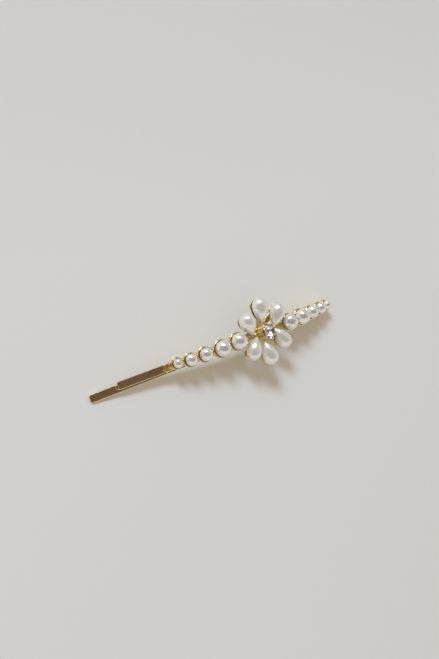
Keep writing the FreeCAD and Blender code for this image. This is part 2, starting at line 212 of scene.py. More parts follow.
# ---------------------------------------------------------------- the pin's own line
def slope(s):
    """Angle by which the pin leans towards +X at distance s, before it is set level."""
    size = sizes()
    return max(s, size.straight_until) / size.arch_radius


def unlevelled(s, height):
    size = sizes()
    angle = slope(s)
    beyond = min(0.0, s - size.straight_until)
    along = Vector((math.cos(angle), 0, -math.sin(angle)))
    out = Vector((math.sin(angle), 0, math.cos(angle)))
    on_arch = Vector((math.sin(angle), 0, math.cos(angle) - 1)) * size.arch_radius
    return on_arch + along * beyond + out * height


def levelling():
    """Turn and shift that put the pin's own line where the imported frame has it."""
    size = sizes()
    under = -(2 * size.strip_thick + size.leg_gap)
    tip, heel = unlevelled(size.lower_tip, under), unlevelled(size.bend_start, under)
    turned = Matrix.Rotation(math.atan2(heel.z - tip.z, heel.x - tip.x), 4, "Y")
    hinge = Vector(frame["joints"][0]["pos_m"])
    return Matrix.Translation(hinge - turned @ unlevelled(size.bend_start, 0.0)) @ turned


def on_pin(s, height=0.0):
    return levelling() @ unlevelled(s, height)


def seat(s, height=0.0):
    """Matrix that stands a part on the upper leg at distance s."""
    return levelling() @ Matrix.Translation(unlevelled(s, height)) @ Matrix.Rotation(slope(s), 4, "Y")


def spread(start, end, steps):
    return [start + (end - start) * step / steps for step in range(steps + 1)]


# ---------------------------------------------------------------- mesh tools
def circle(radius, height, segments):
    return [Vector((radius * math.cos(2 * math.pi * i / segments),
                    radius * math.sin(2 * math.pi * i / segments), height)) for i in range(segments)]


def loft(rings, mesh=None):
    """Closed skin over rings that have the same number of points; a one-point ring is a pole."""
    mesh = mesh or bmesh.new()
    rows = [[mesh.verts.new(point) for point in ring] for ring in rings]
    for low, high in zip(rows, rows[1:]):
        count = max(len(low), len(high))
        for i in range(count):
            j = (i + 1) % count
            if len(low) == 1:
                mesh.faces.new((low[0], high[j], high[i]))
            elif len(high) == 1:
                mesh.faces.new((low[i], low[j], high[0]))
            else:
                mesh.faces.new((low[i], low[j], high[j], high[i]))
    for row in (rows[0], rows[-1]):
        if len(row) > 1:
            mesh.faces.new(row)
    return mesh


def lathe(profile, segments=64, mesh=None):
    """Solid of revolution about Z; a profile point at radius 0 becomes a pole."""
    rings = []
    for radius, height in profile:
        rings.append([Vector((0, 0, height))] if radius == 0 else circle(radius, height, segments))
    return loft(rings, mesh)


def fillet(centre_r, centre_z, radius, start, end, steps=5):
    """Profile points along an arc, angles in degrees from the +radius direction."""
    points = []
    for angle in spread(math.radians(start), math.radians(end), steps):
        points.append((centre_r + radius * math.cos(angle), centre_z + radius * math.sin(angle)))
    return points


def tube(points, radius, segments=12, mesh=None, taper=None):
    """Round wire along points with rounded ends; taper gives its radius share along the run."""
    mesh = mesh or bmesh.new()
    rings = []
    side = None
    last = len(points) - 1
    for i, point in enumerate(points):
        ahead = points[min(i + 1, last)] - points[max(i - 1, 0)]
        ahead.normalize()
        if side is None:
            side = ahead.orthogonal().normalized()
        side = (side - ahead * side.dot(ahead)).normalized()
        other = ahead.cross(side)
        reach = radius * (taper(i / last) if taper else 1.0)
        rings.append([point + (side * math.cos(2 * math.pi * k / segments)
                               + other * math.sin(2 * math.pi * k / segments)) * reach
                      for k in range(segments)])
    for end, inner in ((0, 1), (-1, -2)):
        centre = points[end]
        out = (centre - points[inner]).normalized()
        reach = (rings[end][0] - centre).length
        caps = []
        for angle in (30, 60):
            share_out, share_in = math.sin(math.radians(angle)), math.cos(math.radians(angle))
            caps.append([centre + (p - centre) * share_in + out * reach * share_out for p in rings[end]])
        caps.append([centre + out * reach])
        rings = caps[::-1] + rings if end == 0 else rings + caps
    return loft(rings, mesh)


def rounded_section(width, thick, edge, crisp=1.0, steps=4):
    """Outline of a flat strip's section in (y, z), its top face at z 0.

    The edges on the +Y side are rounded by the share called crisp, as a sheared strip's are.
    """
    half, points = width / 2, []
    edge = min(edge, half * 0.9, thick * 0.45)
    for side, top, start in ((1, 0, 0), (-1, 0, 90), (-1, 1, 180), (1, 1, 270)):
        radius = edge * crisp if side > 0 else edge
        centre_y = side * (half - radius)
        centre_z = -thick + radius if top else -radius
        for angle in spread(math.radians(start), math.radians(start + 90), steps):
            points.append((centre_y + radius * math.cos(angle), centre_z + radius * math.sin(angle)))
    return points


def transformed(mesh, matrix):
    bmesh.ops.transform(mesh, matrix=matrix, verts=mesh.verts)
    return mesh


def roughen(mesh, amount, grain, seed):
    """Moves each point a little along its normal, as hand work or lacquer does."""
    mesh.normal_update()
    offset = Vector((seed * 3.1, seed * 1.7, seed * 0.9))
    for vert in mesh.verts:
        vert.co += vert.normal * amount * noise.noise(vert.co / grain + offset)
    return mesh


def piece(name, mesh, finish, body, replaces=(), sharp=40.0):
    """Object from a bmesh, smooth but for edges sharper than the given angle, riding on a body."""
    bmesh.ops.remove_doubles(mesh, verts=mesh.verts, dist=1e-7)
    bmesh.ops.recalc_face_normals(mesh, faces=mesh.faces)
    data = bpy.data.meshes.new(name)
    mesh.to_mesh(data)
    mesh.free()
    data.shade_smooth()
    data.set_sharp_from_angle(angle=math.radians(sharp))
    data.materials.append(finish)
    obj = bpy.data.objects.new(name, data)
    bpy.context.scene.collection.objects.link(obj)
    if body:
        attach(obj, body)
    if replaces:
        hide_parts(*replaces)
    return obj


# ---------------------------------------------------------------- shared surface effects
def effect(name, inputs, outputs):
    """Empty shader node group with named inputs and named float outputs."""
    group = bpy.data.node_groups.new(name, "ShaderNodeTree")
    for label, kind, default in inputs:
        socket = group.interface.new_socket(name=label, in_out="INPUT", socket_type=kind)
        if default is not None:
            socket.default_value = default
    for label in outputs:
        group.interface.new_socket(name=label, in_out="OUTPUT", socket_type="NodeSocketFloat")
    return group, group.nodes.new("NodeGroupInput"), group.nodes.new("NodeGroupOutput")


def scaled(tree, vector, factors):
    node = tree.nodes.new("ShaderNodeVectorMath")
    node.operation = "MULTIPLY"
    node.inputs[1].default_value = factors
    tree.links.new(vector, node.inputs[0])
    return node.outputs[0]


def noise_of(tree, vector, scale, detail=3.0, roughness=0.5, scale_socket=None):
    node = tree.nodes.new("ShaderNodeTexNoise")
    node.inputs["Scale"].default_value = scale
    node.inputs["Detail"].default_value = detail
    node.inputs["Roughness"].default_value = roughness
    tree.links.new(vector, node.inputs["Vector"])
    if scale_socket:
        tree.links.new(scale_socket, node.inputs["Scale"])
    return node.outputs["Fac"]


def ranged(tree, value, low, high, to_low, to_high):
    node = tree.nodes.new("ShaderNodeMapRange")
    for index, number in enumerate((low, high, to_low, to_high), start=1):
        node.inputs[index].default_value = number
    tree.links.new(value, node.inputs[0])
    return node.outputs[0]


def combined(tree, operation, first, second):
    node = tree.nodes.new("ShaderNodeMath")
    node.operation = operation
    for socket, value in zip(node.inputs, (first, second)):
        if isinstance(value, (int, float)):
            socket.default_value = value
        else:
            tree.links.new(value, socket)
    return node.outputs[0]


def plating_effect():
    """Drift of the plating's tone, polishing lines, worn edges and the height of fine marks."""
    group, start, end = effect("plating_wear", [("Vector", "NodeSocketVector", None),
                                                ("Cloud Scale", "NodeSocketFloat", 260.0),
                                                ("Line Scale", "NodeSocketFloat", 5200.0)],
                               ["Tone", "Lines", "Edges", "Height"])
    vector = start.outputs["Vector"]
    cloud = noise_of(group, vector, 260.0, 4.0, 0.55, start.outputs["Cloud Scale"])
    lines = noise_of(group, scaled(group, vector, (0.12, 1.0, 1.0)), 5200.0, 2.0, 0.6,
                     start.outputs["Line Scale"])
    pits = noise_of(group, vector, 2400.0, 2.0, 0.5)
    geometry = group.nodes.new("ShaderNodeNewGeometry")
    group.links.new(ranged(group, cloud, 0.32, 0.68, 0.0, 1.0), end.inputs["Tone"])
    group.links.new(ranged(group, lines, 0.3, 0.7, 0.0, 1.0), end.inputs["Lines"])
    group.links.new(ranged(group, geometry.outputs["Pointiness"], 0.52, 0.62, 0.0, 1.0),
                    end.inputs["Edges"])
    group.links.new(combined(group, "ADD", combined(group, "MULTIPLY", lines, 0.35), pits),
                    end.inputs["Height"])
    return group


def nacre_effect():
    """Slow drift of tint, faint growth bands and lacquer ripple on a pearl."""
    group, start, end = effect("nacre_drift", [("Vector", "NodeSocketVector", None),
                                               ("Drift Scale", "NodeSocketFloat", 330.0)],
                               ["Tint", "Bands", "Height"])
    vector = start.outputs["Vector"]
    drift = noise_of(group, vector, 330.0, 2.0, 0.45, start.outputs["Drift Scale"])
    bands = noise_of(group, scaled(group, vector, (1.0, 1.0, 4.0)), 700.0, 3.0, 0.5)
    ripple = noise_of(group, vector, 1500.0, 2.0, 0.5)
    group.links.new(ranged(group, drift, 0.35, 0.65, 0.0, 1.0), end.inputs["Tint"])
    group.links.new(ranged(group, bands, 0.3, 0.7, 0.0, 1.0), end.inputs["Bands"])
    group.links.new(ripple, end.inputs["Height"])
    return group


def shared(name, make):
    return bpy.data.node_groups.get(name) or make()


def new_finish(name):
    finish = bpy.data.materials.new(name)
    finish.use_nodes = True
    return finish, finish.node_tree, finish.node_tree.nodes["Principled BSDF"]


def place_effect(tree, group, **values):
    node = tree.nodes.new("ShaderNodeGroup")
    node.node_tree = group
    coordinates = tree.nodes.new("ShaderNodeTexCoord")
    tree.links.new(coordinates.outputs["Object"], node.inputs["Vector"])
    for label, value in values.items():
        node.inputs[label.replace("_", " ")].default_value = value
    return node


def between(tree, factor, first, second):
    """Colour that goes from first to second as the factor rises; either may be a socket."""
    node = tree.nodes.new("ShaderNodeMix")
    node.data_type = "RGBA"
    tree.links.new(factor, node.inputs["Factor"])
    for index, colour in ((6, first), (7, second)):
        if isinstance(colour, bpy.types.NodeSocket):
            tree.links.new(colour, node.inputs[index])
        else:
            node.inputs[index].default_value = (*colour, 1.0)
    return node.outputs[2]


def bumped(tree, shader, height, strength, depth):
    node = tree.nodes.new("ShaderNodeBump")
    node.inputs["Strength"].default_value = strength
    node.inputs["Distance"].default_value = depth
    tree.links.new(height, node.inputs["Height"])
    tree.links.new(node.outputs["Normal"], shader.inputs["Normal"])


def gold(name, lines, cloud_scale):
    """Bright plating; lines is how far polishing lines change its roughness."""
    found = bpy.data.materials.get(name)
    if found:
        return found
    look = finishes()
    finish, tree, shader = new_finish(name)
    wear = place_effect(tree, shared("plating_wear", plating_effect), Cloud_Scale=cloud_scale)
    colour = between(tree, wear.outputs["Tone"], look.gold_light, look.gold_deep)
    pale = [min(1.0, channel * 1.06) for channel in look.gold_light]
    colour = between(tree, wear.outputs["Edges"], colour, pale)
    tree.links.new(colour, shader.inputs["Base Color"])
    shader.inputs["Metallic"].default_value = 1.0
    tree.links.new(ranged(tree, wear.outputs["Lines"], 0.0, 1.0, look.gold_rough - lines,
                          look.gold_rough + lines), shader.inputs["Roughness"])
    bumped(tree, shader, wear.outputs["Height"], 0.25, 0.006 * MM)
    return finish


def strip_gold():
    return gold("strip_gold_plate", 0.05, 180.0)


def setting_gold():
    return gold("setting_gold_plate", 0.06, 420.0)


def pearl_finish(name, drift_scale, lustre_share, light, extra_rough=0.0):
    """Imitation pearl: a lustrous lacquer under a clear coat."""
    found = bpy.data.materials.get(name)
    if found:
        return found
    look = finishes()
    finish, tree, shader = new_finish(name)
    nacre = place_effect(tree, shared("nacre_drift", nacre_effect), Drift_Scale=drift_scale)
    tree.links.new(between(tree, nacre.outputs["Tint"], light, look.pearl_blush),
                   shader.inputs["Base Color"])
    rough = look.pearl_rough + extra_rough
    tree.links.new(ranged(tree, nacre.outputs["Bands"], 0.0, 1.0, rough - 0.03, rough + 0.04),
                   shader.inputs["Roughness"])
    shader.inputs["Metallic"].default_value = look.pearl_lustre * lustre_share
    shader.inputs["Coat Weight"].default_value = 0.6
    shader.inputs["Coat Roughness"].default_value = 0.08
    shader.inputs["Subsurface Weight"].default_value = 0.15
    shader.inputs["Subsurface Radius"].default_value = (1.0, 0.8, 0.7)
    shader.inputs["Subsurface Scale"].default_value = 0.6 * MM
    bumped(tree, shader, nacre.outputs["Height"], 0.2, 0.004 * MM)
    return finish


def foil_finish():
    finish, tree, shader = new_finish("stone_foil_silver")
    wear = place_effect(tree, shared("plating_wear", plating_effect), Cloud_Scale=900.0)
    pale = list(finishes().foil_tint)
    tree.links.new(between(tree, wear.outputs["Tone"], pale, [channel * 0.86 for channel in pale]),
                   shader.inputs["Base Color"])
    shader.inputs["Metallic"].default_value = 1.0
    tree.links.new(ranged(tree, wear.outputs["Lines"], 0.0, 1.0, 0.06, 0.14), shader.inputs["Roughness"])
    return finish


def stone_finish():
    finish, tree, shader = new_finish("stone_cut_glass")
    nacre = place_effect(tree, shared("nacre_drift", nacre_effect), Drift_Scale=1200.0)
    clear = list(finishes().stone_tint)
    tree.links.new(between(tree, nacre.outputs["Tint"], clear, [channel * 0.97 for channel in clear]),
                   shader.inputs["Base Color"])
    shader.inputs["Metallic"].default_value = 0.0
    shader.inputs["Transmission Weight"].default_value = 1.0
    shader.inputs["IOR"].default_value = 1.58
    tree.links.new(ranged(tree, nacre.outputs["Bands"], 0.0, 1.0, 0.0, 0.02), shader.inputs["Roughness"])
    return finish


def gold_setting(name, mesh, node):
    """Piece of the gold settings, which all ride on the upper body."""
    return piece(name, mesh, setting_gold(), UPPER, [node])


# ---------------------------------------------------------------- the spring strip
def strip_mesh(start, end, top, thick, width, edge, corner, skew=0.0, both_ends=False):
    """Flat strip that follows the pin from start to end, its start rounded in plan."""
    size = sizes()
    stations = [start + corner * (1 - math.cos(angle)) for angle in spread(0, math.pi / 2, 8)]
    stations += spread(stations[-1], end, int((end - start) / (0.5 * MM)))[1:]
    if both_ends:
        stations[-1] = end - corner
        stations += [end - corner + corner * math.sin(angle) for angle in spread(0, math.pi / 2, 8)][1:]
    rings = []
    for s in stations:
        from_end = min(s - start, end - s) if both_ends else s - start
        cut, squeeze = 0.0, 0.0
        if from_end < corner:
            cut = corner - math.sqrt(max(0.0, corner ** 2 - (corner - from_end) ** 2))
        if from_end < edge:
            squeeze = edge - math.sqrt(max(0.0, edge ** 2 - (edge - from_end) ** 2))
        drift = -skew * (size.bend_start - s) / (size.bend_start - start)
        section = rounded_section(width - 2 * cut, thick - 2 * squeeze, edge, size.edge_crisp)
        place = seat(s, top - squeeze)
        rings.append([place @ Vector((0, y + drift, z)) for y, z in section])
    return loft(rings)


class PIN_OT_legs(bpy.types.Operator):
    """Build the two legs of the spring strip"""

    bl_idname = "pin.legs"
    bl_label = "Spring Legs"
    bl_options = {"REGISTER", "UNDO"}

    def execute(self, context):
        size = context.scene.pin_sizes
        pitch = size.strip_thick + size.leg_gap
        upper = strip_mesh(size.upper_tip, size.bend_start, 0.0, size.strip_thick, size.strip_width,
                           size.strip_edge, size.tip_corner)
        piece("upper_strip", upper, strip_gold(), UPPER, ["upper_leg"])
        lower = strip_mesh(size.lower_tip, size.bend_start, -pitch, size.strip_thick, size.strip_width,
                           size.strip_edge, size.tip_corner, skew=size.leg_skew)
        piece("lower_strip", lower, strip_gold(), LOWER, ["lower_leg"])
        return {"FINISHED"}


class PIN_OT_turn(bpy.types.Operator):
    """Build the half turn that joins the legs, which on the pin itself bends as they open"""

    bl_idname = "pin.turn"
    bl_label = "Spring Turn"
    bl_options = {"REGISTER", "UNDO"}

    def execute(self, context):
        size = context.scene.pin_sizes
        pitch = size.strip_thick + size.leg_gap
        middle = seat(size.bend_start, -(pitch + size.strip_thick) / 2)
        outer = (pitch + size.strip_thick) / 2
        section = rounded_section(size.strip_width, size.strip_thick, size.strip_edge, size.edge_crisp)
        rings = []
        for angle in spread(0, math.pi, 36):
            ring = []
            for y, z in section:
                reach = outer + z
                ring.append(middle @ Vector((reach * math.sin(angle), y, reach * math.cos(angle))))
            rings.append(ring)
        half_turn = piece("spring_turn", loft(rings), strip_gold(), None, ["spring_bend"])
        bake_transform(half_turn)
        return {"FINISHED"}


class PIN_OT_carrier(bpy.types.Operator):
    """Build the carrier bar that is soldered along the upper leg"""

    bl_idname = "pin.carrier"
    bl_label = "Carrier Bar"
    bl_options = {"REGISTER", "UNDO"}

    def execute(self, context):
        size = context.scene.pin_sizes
        bar = strip_mesh(size.bar_start, size.bar_end, size.bar_thick, size.bar_thick, size.bar_width,
                         0.1 * MM, size.bar_width * 0.45, both_ends=True)
        roughen(bar, 0.02 * MM, 1.2 * MM, 4)
        gold_setting("soldered_bar", bar, "carrier_bar")
        return {"FINISHED"}


# ---------------------------------------------------------------- cups and round pearls
def packed_radius(side_name, number):
    """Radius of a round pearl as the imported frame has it."""
    low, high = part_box(f"pearl_{side_name}_{number}")
    return (high[1] - low[1]) / 2


def fit_radius(number):
    """Radius that both sides' cups and the height of their pearls are worked out from."""
    return packed_radius("open", number)


def pearl_centre(radius):
    size = sizes()
    return size.pearl_lift + size.pearl_lift_share * radius


def cup_sizes(radius):
    size = sizes()
    rim = radius + size.cup_margin
    return rim, rim * size.cup_foot_share, pearl_centre(radius) - size.cup_rim_drop * radius


def cup_reach(radius, height):
    """Outer radius of a cup at a height above the upper leg."""
    size = sizes()
    rim, foot, top = cup_sizes(radius)
    rise = (top - min(max(height, size.bar_thick), top)) / (top - size.bar_thick)
    return foot + (rim - foot) * math.sqrt(1 - rise ** 2)


def cup_mesh(radius):
    """Turned bowl with a foot ring, swelling wall, rolled rim and a hollow with a flat floor."""
    size = sizes()
    rim, foot, top = cup_sizes(radius)
    low = size.bar_thick
    bead = size.cup_wall * 0.55
    wall = size.cup_wall
    heights = spread(low + 0.22 * MM, top - 2.2 * bead, 12)
    profile = [(0, low), (foot + 0.02 * MM, low)]
    profile += fillet(foot + 0.03 * MM, low + 0.07 * MM, 0.07 * MM, -90, 60, 4)
    profile += [(cup_reach(radius, height), height) for height in heights]
    profile += fillet(rim - bead * 0.9, top - bead, bead, -50, 180, 9)
    inner_top = rim - wall
    floor = low + size.cup_floor
    for height in spread(top - 2 * bead, floor + 0.12 * MM, 10):
        profile.append((min(inner_top, cup_reach(radius, height) - wall), height))
    profile += [(foot - wall - 0.1 * MM, floor), (0, floor)]
    return lathe(profile, 72)


def pearl_mesh(radius, centre, seed):
    """Drilled round pearl with a softened hole at its underside."""
    size = sizes()
    hole = size.peg_radius + 0.04 * MM
    lip = math.asin(min(0.9, (hole + 0.06 * MM) / radius))
    profile = [(0, centre), (hole, centre), (hole, centre - radius * math.cos(lip) + 0.05 * MM)]
    for angle in spread(lip, math.pi, 48)[:-1]:
        profile.append((radius * math.sin(angle), centre - radius * math.cos(angle)))
    profile.append((0, centre + radius))
    return roughen(lathe(profile, 72), 0.006 * radius, radius * 0.9, seed)


def cup_seat(side, number):
    """Matrix of a cup and its pearl; hand setting leaves the open side's a little off the line."""
    drift = sizes().set_drift * DRIFT_SHARES[number - 1] if side < 0 else 0.0
    return Matrix.Translation(Y * drift) @ seat(side * PEARL_PLACES[number - 1])


class PIN_OT_cups(bpy.types.Operator):
    """Build the ten round cups"""

    bl_idname = "pin.cups"
    bl_label = "Pearl Cups"
    bl_options = {"REGISTER", "UNDO"}

    def execute(self, context):
        for side, side_name in SIDES:
            for number in CUP_NUMBERS:
                cup = transformed(cup_mesh(fit_radius(number)), cup_seat(side, number))
                gold_setting(f"bezel_{side_name}_{number}", cup, f"pearl_cup_{side_name}_{number}")
        return {"FINISHED"}


class PIN_OT_pearls(bpy.types.Operator):
    """Build the ten round pearls"""

    bl_idname = "pin.pearls"
    bl_label = "Round Pearls"
    bl_options = {"REGISTER", "UNDO"}

    def execute(self, context):
        finish = pearl_finish("pearl_lacquer_round", 330.0, 1.0, finishes().pearl_light)
        for side, side_name in SIDES:
            for number in CUP_NUMBERS:
                radius = packed_radius(side_name, number) * context.scene.pin_sizes.pearl_swell
                pearl = pearl_mesh(radius, pearl_centre(fit_radius(number)), number + 10 * side)
                spin = Matrix.Rotation(number * 1.3 + side, 4, "Z")
                transformed(pearl, cup_seat(side, number) @ spin)
                piece(f"round_pearl_{side_name}_{number}", pearl, finish, UPPER,
                      [f"pearl_{side_name}_{number}"])
        return {"FINISHED"}


# ---------------------------------------------------------------- wrapped wire necks
def wrapped_neck(start, end, mesh):
    """Core wire with a close coil of finer wire round it, between two points."""
    size = sizes()
    axis = end - start
    side = Y.copy()
    out = axis.normalized().cross(side)
    tube([start, start + axis * 0.5, end], size.neck_radius - 2 * size.wire_radius, 12, mesh)
    coil_radius = size.neck_radius - size.wire_radius
    turns = max(1.0, axis.length / (2.15 * size.wire_radius))
    points = []
    for step in range(int(turns * 16) + 1):
        angle = 2 * math.pi * step / 16
        points.append(start + axis * (step / (turns * 16))
                      + (side * math.cos(angle) + out * math.sin(angle)) * coil_radius)
    tube(points, size.wire_radius, 8, mesh)
    return mesh


def bound_turns(mesh):
    """Three turns of fine wire that tie the bar's tab to the upper leg before the first cup."""
    size = sizes()
    wire = size.wire_radius * 0.8
    low, high = -size.strip_thick - wire, size.bar_thick + wire
    half = size.strip_width / 2 + wire
    corner = 0.14 * MM
    middle = size.bar_start + 0.62 * MM
    points = []
    for step in range(3 * 32 + 1):
        angle = 2 * math.pi * step / 32
        s = middle + (step / (3 * 32) - 0.5) * 5.4 * wire
        side, rise = math.cos(angle), math.sin(angle)
        stretch = 1 / max(abs(side) ** 5 + abs(rise) ** 5, 1e-9) ** 0.2
        y = side * stretch * half
        z = (low + high) / 2 + rise * stretch * ((high - low) / 2)
        shoulder = max(0.0, abs(y) - size.bar_width / 2 - corner)
        z = min(z, high - shoulder * 1.2) if rise > 0 else z
        points.append(seat(s, 0.0) @ Vector((0, y, z)))
    return tube(points, wire, 8, mesh)


class PIN_OT_necks(bpy.types.Operator):
    """Build the wire-wrapped necks between the cups and into the flower"""

    bl_idname = "pin.necks"
    bl_label = "Wire Necks"
    bl_options = {"REGISTER", "UNDO"}

    def execute(self, context):
        size = context.scene.pin_sizes
        height = size.neck_height
        bite = 0.12 * MM
        for side, side_name in SIDES:
            mesh = bmesh.new()
            places = PEARL_PLACES + [0.0]
            reaches = [cup_reach(fit_radius(number), height) for number in CUP_NUMBERS]
            reaches.append(size.claw_cup_radius * 0.85)
            for index in range(len(PEARL_PLACES)):
                outer_end = side * (places[index] - reaches[index] + bite)
                inner_end = side * (places[index + 1] + reaches[index + 1] - bite)
                wrapped_neck(on_pin(outer_end, height), on_pin(inner_end, height), mesh)
            if side < 0:
                bound_turns(mesh)
            gold_setting(f"wire_necks_{side_name}", mesh, f"link_necks_{side_name}")
        return {"FINISHED"}


# ---------------------------------------------------------------- the flower
class Petal:
    """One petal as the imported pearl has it: its place, direction, length and widest radius."""

    def __init__(self, number):
        flower = seat(0.0)
        level = flower.inverted()
        points = [level @ vert.co for vert in frame["nodes"][f"petal_pearl_{number}"].data.vertices]
        middle = sum(points, Vector()) / len(points)
        flat = [((p - middle).x, (p - middle).y) for p in points]
        direction = 0.5 * math.atan2(2 * sum(x * y for x, y in flat), sum(x * x - y * y for x, y in flat))
        out = Vector((math.cos(direction), math.sin(direction), 0))
        if out.dot(middle) < 0:
            out = -out
        aside = Z.cross(out)
        reaches = [out.dot(p) for p in points]
        sides = [aside.dot(p) for p in points]
        self.length = max(reaches) - min(reaches)
        self.radius = (max(sides) - min(sides)) / 2
        centre = out * (max(reaches) + min(reaches)) / 2 + aside * (max(sides) + min(sides)) / 2
        turned = Matrix((out, aside, Z)).transposed().to_4x4()
        self.seat = flower @ Matrix.Translation(centre) @ turned

    def girth(self, along):
        """Radius at a share 0 to 1 of the way from the inner to the round end."""
        taper = sizes().petal_taper
        half_angle = math.acos(max(-1.0, min(1.0, 1 - 2 * along))) / 2
        widest = math.atan(math.sqrt(1 + taper))
        peak = math.sin(2 * widest) * math.sin(widest) ** taper
        return self.radius * math.sin(2 * half_angle) * math.sin(half_angle) ** taper / peak


def softened_copy(node, edge, segments=3):
    """The CAD node's own shape with its sharp edges rounded."""
    mesh = bmesh.new()
    mesh.from_mesh(frame["nodes"][node].data)
    bmesh.ops.remove_doubles(mesh, verts=mesh.verts, dist=1e-6)
    bmesh.ops.dissolve_limit(mesh, angle_limit=math.radians(1.0), verts=mesh.verts, edges=mesh.edges)
    sharp = [e for e in mesh.edges if len(e.link_faces) == 2 and e.calc_face_angle() > math.radians(35)]
    bmesh.ops.bevel(mesh, geom=sharp, offset=edge, segments=segments, profile=0.5, affect="EDGES")
    return mesh


class PIN_OT_flower_plate(bpy.types.Operator):
    """Build the six-armed plate under the flower"""

    bl_idname = "pin.flower_plate"
    bl_label = "Flower Plate"
    bl_options = {"REGISTER", "UNDO"}

    def execute(self, context):
        plate = softened_copy("flower_base", 0.07 * MM)
        gold_setting("flower_plate", plate, "flower_base")
        return {"FINISHED"}


def petal_mesh(petal, seed):
    """Pear-shaped pearl that lies along X, round in section, narrower at its inner end."""
    size = sizes()
    rings = []
    for angle in spread(0, math.pi, 60):
        share_along = (1 - math.cos(angle)) / 2
        along = petal.length * (share_along - 0.5)
        radius = petal.girth(share_along) * size.pearl_swell
        if radius < 1e-7:
            rings.append([Vector((along, 0, size.petal_height))])
        else:
            rings.append([Vector((along, point.x, size.petal_height + point.y))
                          for point in circle(radius, 0, 64)])
    return roughen(loft(rings), 0.02 * MM, 2.2 * MM, seed)


def tray_ring(petal, height, growth, steps=48):
    """Outline at a height around the petal's own form grown by a margin, as (x, y) pairs."""
    size = sizes()
    drop = size.petal_height - height
    upper = []
    for share_along in spread(0.0, 1.0, 400):
        radius = petal.girth(share_along) * size.pearl_swell + growth
        if radius > drop:
            upper.append(Vector((petal.length * (share_along - 0.5),
                                 math.sqrt(radius ** 2 - drop ** 2), 0)))
    closed = upper + [Vector((p.x, -p.y, 0)) for p in reversed(upper)]
    return even_loop(closed, 2 * steps)


def even_loop(points, count):
    """The closed outline again, with evenly spaced points that start at its first one."""
    marks = [0.0]
    for a, b in zip(points, points[1:] + points[:1]):
        marks.append(marks[-1] + (b - a).length)
    loop, at = [], 0
    for step in range(count):
        reach = marks[-1] * step / count
        while marks[at + 1] < reach:
            at += 1
        share_along = (reach - marks[at]) / (marks[at + 1] - marks[at])
        loop.append(points[at].lerp(points[(at + 1) % len(points)], share_along))
    return loop


def tray_mesh(petal, extra_rim=0.0):
    """Bowl that follows the petal's underside, with a flat foot and a rolled rim."""
    size = sizes()
    low, rim = size.tray_bottom, size.tray_rim + extra_rim
    inner, outer = size.tray_room, size.tray_room + size.tray_wall
    lowest = size.petal_height - petal.radius * size.pearl_swell - inner
    middle, half = (inner + outer) / 2, size.tray_wall / 2
    foot = tray_ring(petal, lowest + 0.12 * MM, outer)
    centre = sum(foot, Vector()) / len(foot)
    rings = []
    for height, share_out in ((low, 0.9), (low + 0.03 * MM, 0.97), (low + 0.09 * MM, 1.0)):
        rings.append([centre + (p - centre) * share_out + Z * height for p in foot])
    for height in spread(max(lowest + 0.16 * MM, low + 0.14 * MM), rim - half, 10):
        rings.append([p + Z * height for p in tray_ring(petal, height, outer)])
    for angle in spread(math.radians(20), math.radians(160), 6):
        height = rim - half + half * math.sin(angle)
        growth = middle + half * 1.15 * math.cos(angle)
        rings.append([p + Z * height for p in tray_ring(petal, height, growth)])
    for height in spread(rim - half, lowest + 0.06 * MM, 10):
        rings.append([p + Z * height for p in tray_ring(petal, height, inner)])
    return loft(rings)


class PIN_OT_trays(bpy.types.Operator):
    """Build the six teardrop trays"""

    bl_idname = "pin.trays"
    bl_label = "Petal Trays"
    bl_options = {"REGISTER", "UNDO"}

    def execute(self, context):
        size = context.scene.pin_sizes
        for number in range(1, size.petal_count + 1):
            petal = Petal(number)
            is_proud = number == size.proud_tray
            extra_rim = size.proud_rim if is_proud else 0.0
            shift = Matrix.Translation(X * (-size.proud_shift if is_proud else 0.0))
            tray = transformed(tray_mesh(petal, extra_rim), shift @ petal.seat)
            gold_setting(f"teardrop_tray_{number}", tray, f"petal_tray_{number}")
        return {"FINISHED"}


class PIN_OT_petals(bpy.types.Operator):
    """Build the six petal pearls"""

    bl_idname = "pin.petals"
    bl_label = "Petal Pearls"
    bl_options = {"REGISTER", "UNDO"}

    def execute(self, context):
        finish = pearl_finish("pearl_lacquer_petal", 260.0, 0.75, finishes().petal_light, 0.02)
        for number in range(1, context.scene.pin_sizes.petal_count + 1):
            petal = Petal(number)
            pearl = transformed(petal_mesh(petal, number + 30), petal.seat)
            piece(f"drop_pearl_{number}", pearl, finish, UPPER, [f"petal_pearl_{number}"])
        return {"FINISHED"}


